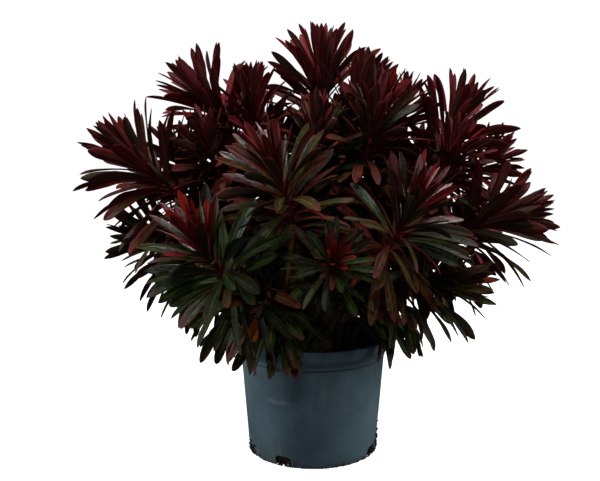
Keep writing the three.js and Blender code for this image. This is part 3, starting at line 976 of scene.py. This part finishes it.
def make_soil(material):
    """The root ball's soil: a lumpy top, and a side that fills the pot."""
    inset = POT_WALL + CLEARANCE
    flat_foot = FOOT_RADIUS * 0.6
    profile = [(0, inset), (flat_foot, inset)]
    profile += wall_line(inset, 8)
    for ring in range(SOIL_RINGS):
        radius = SOIL_RADIUS * (1 - ring / SOIL_RINGS)
        profile.append((radius, soil_height(radius)))
    profile.append((0, soil_height(0)))
    points, faces = lathe(profile, SOIL_SIDES)
    lumpy = []
    for x, y, z in points:
        radius = math.hypot(x, y)
        if z > SOIL_EDGE - 1 * MM:
            loose = lerp(0.3, 1, min(1.0, (SOIL_RADIUS - radius) / SETTLED_EDGE))
            relief = rough(x, y, LUMP_SCALE) * LUMP_HEIGHT + rough(x, y, GRAIN_SCALE) * GRAIN_HEIGHT
            z += relief * loose
        elif radius > flat_foot:
            dented = 1 - DENT * abs(noise.noise(Vector((x, y, z)) * DENT_SCALE))
            x *= dented
            y *= dented
        lumpy.append((x, y, z))
    make_piece("peat_plug", lumpy, faces, "peat_soil", material, "soil")


def shred(shape, layer, place, size, stretch, rng):
    """Adds one rough crumb to a mesh, squeezed and turned at random."""
    spin = Matrix.Rotation(rng.uniform(0, ROUND), 4, "Z")
    tilt = Matrix.Rotation(rng.uniform(-0.5, 0.5), 4, "X")
    turn = spin @ tilt
    made = bmesh.ops.create_icosphere(shape, subdivisions=2, radius=1)
    chance = rng.random()
    seed = Vector((rng.uniform(0, 50), rng.uniform(0, 50), rng.uniform(0, 50)))
    for vertex in made["verts"]:
        lump = 1 + 0.45 * noise.noise(vertex.co * 1.4 + seed)
        squeezed = Vector([c * s * size * lump for c, s in zip(vertex.co, stretch)])
        vertex.co = turn @ squeezed + Vector(place)
        vertex[layer] = (chance, 0.5, 0.5)


def scatter_shreds(name, material, places, stretch, rng):
    """A piece made of crumbs or chips at places, each with its size."""
    shape = bmesh.new()
    layer = shape.verts.layers.float_vector.new("shred")
    for place, size in places:
        shred(shape, layer, place, size, stretch, rng)
    mesh = bpy.data.meshes.new(name)
    shape.to_mesh(mesh)
    shape.free()
    mesh.shade_smooth()
    finish_piece(name, mesh, "peat_soil", material, "soil")


def on_soil(rng, reach=0.96):
    """A random place on top of the soil."""
    radius = SOIL_RADIUS * reach * math.sqrt(rng.random())
    x, y, height = ring_place(radius, rng.uniform(0, ROUND), soil_height(radius))
    return x, y, height + rough(x, y, LUMP_SCALE) * LUMP_HEIGHT


def make_crumbs(material, rng):
    """Loose crumbs of peat on the soil."""
    places = []
    for _ in range(CRUMBS):
        size = rng.uniform(0.5, 1.9) * MM
        x, y, z = on_soil(rng)
        places.append(((x, y, z + size * 0.3), size))
    scatter_shreds("peat_crumbs", material, places, (1, 0.8, 0.6), rng)


def make_chips(material, rng):
    """Flat chips of bark on the soil."""
    places = []
    for _ in range(CHIPS):
        size = rng.uniform(1.2, 3.0) * MM
        x, y, z = on_soil(rng, 0.9)
        places.append(((x, y, z + size * 0.25), size))
    scatter_shreds("bark_chips", material, places, (1.4, 0.6, 0.3), rng)


# Where dirt gathers: the middle and spread of each patch around the pot, in radians from +X,
# how high a crust reaches, and how many bits there are.
RIM_CLUSTERS = ((-0.86, 0.16, 16), (-2.25, 0.12, 12), (-1.35, 0.3, 10))
FOOT_CRUSTS = ((-0.12, 0.16, 22 * MM, 90), (math.pi + 0.35, 0.09, 12 * MM, 110))


def make_rim_bits(material, rng):
    """Pale bits of fibre caught where the soil meets the rim."""
    places = []
    for middle, spread, count in RIM_CLUSTERS:
        for _ in range(count):
            turn = middle + rng.gauss(0, spread)
            size = rng.uniform(0.5, 1.5) * MM
            radius = RIM_RADIUS - LIP_WIDTH - rng.uniform(0.5, 3) * MM
            height = POT_HEIGHT - rng.uniform(1, 6) * MM
            places.append((ring_place(radius, turn, height), size))
    scatter_shreds("rim_bits", material, places, (1.3, 0.6, 0.6), rng)


def make_foot_dirt(material, rng):
    """Soil that has washed out of the notches and clings to the pot's foot."""
    places = []
    for i in range(NOTCH_COUNT):
        middle = NOTCH_TURN + i * ROUND / NOTCH_COUNT - math.pi / 2
        for _ in range(WASHED_CRUMBS):
            turn = middle + rng.gauss(0, 0.1)
            size = rng.uniform(0.5, 1.8) * MM
            radius = FOOT_RADIUS + rng.uniform(-4, 1.5) * MM
            height = size + abs(rng.gauss(0, 1.6)) * MM
            places.append((ring_place(radius, turn, height), size))
    for _ in range(FOOT_CRUMBS):
        turn = rng.uniform(0, ROUND)
        size = rng.uniform(0.35, 1.1) * MM
        places.append((ring_place(FOOT_RADIUS + size * 0.4, turn, size), size))
    for middle, spread, top, count in FOOT_CRUSTS:
        for _ in range(count):
            size = rng.uniform(0.4, 1.5) * MM
            turn = middle + rng.gauss(0, spread)
            height = size + abs(rng.gauss(0, 0.4)) * top
            radius = FOOT_RADIUS + WALL_TAPER * height / COLLAR_HEIGHT + size * 0.4
            places.append((ring_place(radius, turn, height), size))
    scatter_shreds("foot_dirt", material, places, (1, 0.8, 0.7), rng)


def make_fibres(material, rng):
    """Thin pale fibres that lie across the soil."""
    points = []
    faces = []
    marks = []
    for _ in range(FIBRES):
        x, y, z = on_soil(rng, 0.9)
        turn = rng.uniform(0, ROUND)
        length = rng.uniform(5, 16) * MM
        thick = rng.uniform(0.15, 0.4) * MM
        chance = rng.random()
        start = len(points)
        for step in range(FIBRE_STEPS):
            share = step / (FIBRE_STEPS - 1)
            turn += rng.gauss(0, 0.3)
            hump = math.sin(share * math.pi) * rng.uniform(0.5, 2.5) * MM
            centre = np.array([x, y, z + 0.4 * MM + hump])
            side = np.array([-math.sin(turn), math.cos(turn), 0])
            taper = thick * math.sin(math.pi * (0.1 + 0.8 * share))
            for corner in range(FIBRE_SIDES):
                angle = ROUND * corner / FIBRE_SIDES
                points.append(centre + side * taper * math.cos(angle) + UP * taper * math.sin(angle))
                marks.append((chance, share, 0))
            x += math.cos(turn) * length / FIBRE_STEPS
            y += math.sin(turn) * length / FIBRE_STEPS
        faces += tube_faces(FIBRE_STEPS, FIBRE_SIDES, start)
    piece = make_piece("peat_fibres", points, faces, "peat_soil", material, "soil")
    give(piece.data, "shred", marks)


# ---- The plant in its pot

SEED = 29
rng = random.Random(SEED)
LEAF = leaf_finish()
BARK = bark_finish()
PEAT = peat_finish()
CRUMB = fibre_finish("peat_crumb", colour(74, 56, 42), colour(22, 16, 13))
CHIP = fibre_finish("bark_chip", colour(120, 82, 52), colour(44, 28, 20))
FIBRE = fibre_finish("peat_fibre", colour(176, 146, 104), colour(96, 72, 48))
DYING = fibre_finish("dying_leaf", colour(226, 120, 40), colour(176, 44, 20))

make_pot(pot_finish())
make_soil(PEAT)
make_crumbs(CRUMB, rng)
make_chips(CHIP, rng)
make_fibres(FIBRE, rng)
make_rim_bits(FIBRE, rng)
make_foot_dirt(CRUMB, rng)
for number in range(1, len(SHOOTS) + 1):
    stem = Stem(f"stem_{number:02d}")
    grow_stem(number, stem, BARK, rng)
    grow_head(number, stem, LEAF, rng)
    if number == DYING_SHOOT:
        make_dying_leaf(DYING, rng)

# ---- Stage and light


def studio_white():
    """A plain white that shines a little by itself."""
    return Finish("studio_white").surface(
        {
            "Base Color": (0.8, 0.8, 0.8, 1),
            "Roughness": 1,
            "Specular IOR Level": 0,
            "Emission Color": (1, 1, 1, 1),
            "Emission Strength": 1,
        }
    )


def make_stage(name, points, faces):
    """Part of the white studio, which lights nothing and throws no shadow."""
    mesh = bpy.data.meshes.new(name)
    mesh.from_pydata(points, [], faces)
    mesh.shade_smooth()
    mesh.materials.append(STUDIO_WHITE)
    piece = bpy.data.objects.new(name, mesh)
    bpy.context.collection.objects.link(piece)
    piece.visible_diffuse = False
    piece.visible_glossy = False
    piece.visible_shadow = False


def dome(radius, sides, rings):
    """A half globe that opens downwards, for the white all round."""
    points = []
    for ring in range(rings + 1):
        rise = math.pi / 2 * ring / rings
        for i in range(sides):
            turn = ROUND * i / sides
            out = radius * math.cos(rise)
            height = radius * math.sin(rise) - BACKDROP_SINK
            points.append((out * math.cos(turn), out * math.sin(turn), height))
    faces = []
    for ring in range(rings):
        for i in range(sides):
            a, b = ring * sides + i, ring * sides + (i + 1) % sides
            faces.append((a, a + sides, b + sides, b))
    return points, faces


STUDIO_WHITE = studio_white()
STUDIO_RADIUS = 6.0
BACKDROP_SINK = 0.2  # how far the backdrop's edge lies below the floor
corners = [(-1, -1), (1, -1), (1, 1), (-1, 1)]
floor_points = [(x * STUDIO_RADIUS, y * STUDIO_RADIUS, 0) for x, y in corners]
make_stage("floor", floor_points, [(0, 1, 2, 3)])
make_stage("backdrop", *dome(STUDIO_RADIUS, 48, 12))


def studio_light(name, location, target, size, power):
    """A soft light at a place, in metres, aimed at another one, with its width and height."""
    data = bpy.data.lights.new(name, "AREA")
    data.shape = "RECTANGLE"
    data.size, data.size_y = size
    data.energy = power
    light = bpy.data.objects.new(name, data)
    light.location = location
    light.rotation_euler = (Vector(target) - Vector(location)).to_track_quat("-Z", "Y").to_euler()
    bpy.context.collection.objects.link(light)


HEART = (0, 0, 0.26)  # the middle of the plant
POT_MIDDLE = (0, 0, 0.1)
studio_light("top_light", (0.0, 0.0, 1.45), HEART, (0.9, 0.5), 11)
studio_light("glint_light", (0.0, -1.1, 1.25), HEART, (0.3, 0.14), 3.5)
studio_light("left_light", (-1.3, 0.1, 0.5), HEART, (0.5, 1.1), 10)
studio_light("right_light", (1.3, 0.1, 0.5), HEART, (0.5, 1.1), 8)
studio_light("front_light", (0.0, -2.2, 0.7), HEART, (1.8, 1.2), 0.9)
studio_light("floor_bounce", (0.0, -0.75, 0.01), POT_MIDDLE, (1.0, 0.5), 0.08)

WORLD_GLOW = 0.055
world = bpy.data.worlds.new("studio")
bpy.context.scene.world = world
world.use_nodes = True
background = world.node_tree.nodes["Background"].inputs
background["Color"].default_value = (1, 1, 1, 1)
background["Strength"].default_value = WORLD_GLOW
